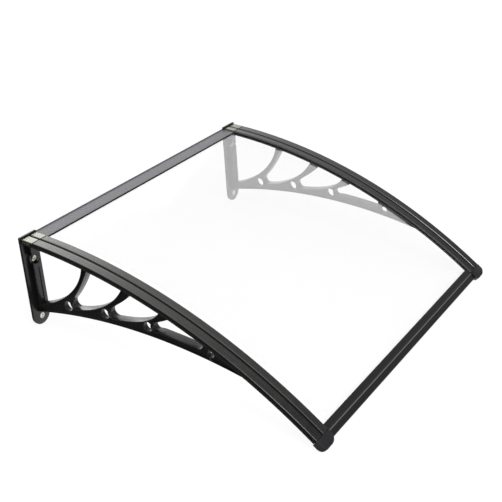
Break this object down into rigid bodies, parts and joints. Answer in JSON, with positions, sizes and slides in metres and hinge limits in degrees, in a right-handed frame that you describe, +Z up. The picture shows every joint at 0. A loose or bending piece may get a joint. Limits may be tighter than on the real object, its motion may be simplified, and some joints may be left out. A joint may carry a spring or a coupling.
{
  "type": "window awning",
  "caption": "Window awning: clear bent polycarbonate sheet on black openwork brackets, held by aluminium pressing strips, with a rear bar at the wall and a rounded front bar.",
  "frame": {"origin": "middle of the rear bar, on the wall plane, at the height of the middle of the wall seal", "axes": "+X along the wall, to the right as seen from in front; +Y into the wall, so the awning reaches out along -Y; +Z up"},
  "size_m": [1.002, 0.9018, 0.3665],
  "materials": {
    "bracket_plastic": "moulded, slightly glossy black",
    "cap_plastic": "moulded, slightly glossy black",
    "strip_aluminium": "extruded, anodised, with fine lengthwise lines",
    "cover_aluminium": "extruded, anodised",
    "rear_bar_aluminium": "extruded, anodised",
    "front_bar_aluminium": "extruded, anodised dark",
    "sheet_polycarbonate": "clear solid polycarbonate, glossy",
    "gasket_rubber": "black rubber strip",
    "seal_foam": "black closed-cell foam",
    "screw_steel": "stainless steel"
  },
  "bodies": {
    "root": {"bracket_left": "bracket_plastic", "bracket_right": "bracket_plastic", "sheet": "sheet_polycarbonate", "top_strip_left": "strip_aluminium", "top_strip_right": "strip_aluminium", "strip_cover_left": "cover_aluminium", "strip_cover_right": "cover_aluminium", "upper_gasket_left": "gasket_rubber", "upper_gasket_right": "gasket_rubber", "lower_gasket_left": "gasket_rubber", "lower_gasket_right": "gasket_rubber", "rear_bar": "rear_bar_aluminium", "wall_seal": "seal_foam", "front_bar": "front_bar_aluminium", "front_cap_left": "cap_plastic", "front_cap_right": "cap_plastic", "cap_screw_left": "screw_steel", "cap_screw_right": "screw_steel", "strip_screw_left_0a": "screw_steel", "strip_screw_left_0b": "screw_steel", "strip_screw_left_1a": "screw_steel", "strip_screw_left_1b": "screw_steel", "strip_screw_left_2a": "screw_steel", "strip_screw_left_2b": "screw_steel", "strip_screw_left_3a": "screw_steel", "strip_screw_left_3b": "screw_steel", "strip_screw_left_4a": "screw_steel", "strip_screw_left_4b": "screw_steel", "strip_screw_right_0a": "screw_steel", "strip_screw_right_0b": "screw_steel", "strip_screw_right_1a": "screw_steel", "strip_screw_right_1b": "screw_steel", "strip_screw_right_2a": "screw_steel", "strip_screw_right_2b": "screw_steel", "strip_screw_right_3a": "screw_steel", "strip_screw_right_3b": "screw_steel", "strip_screw_right_4a": "screw_steel", "strip_screw_right_4b": "screw_steel"}
  },
  "joints": []
}
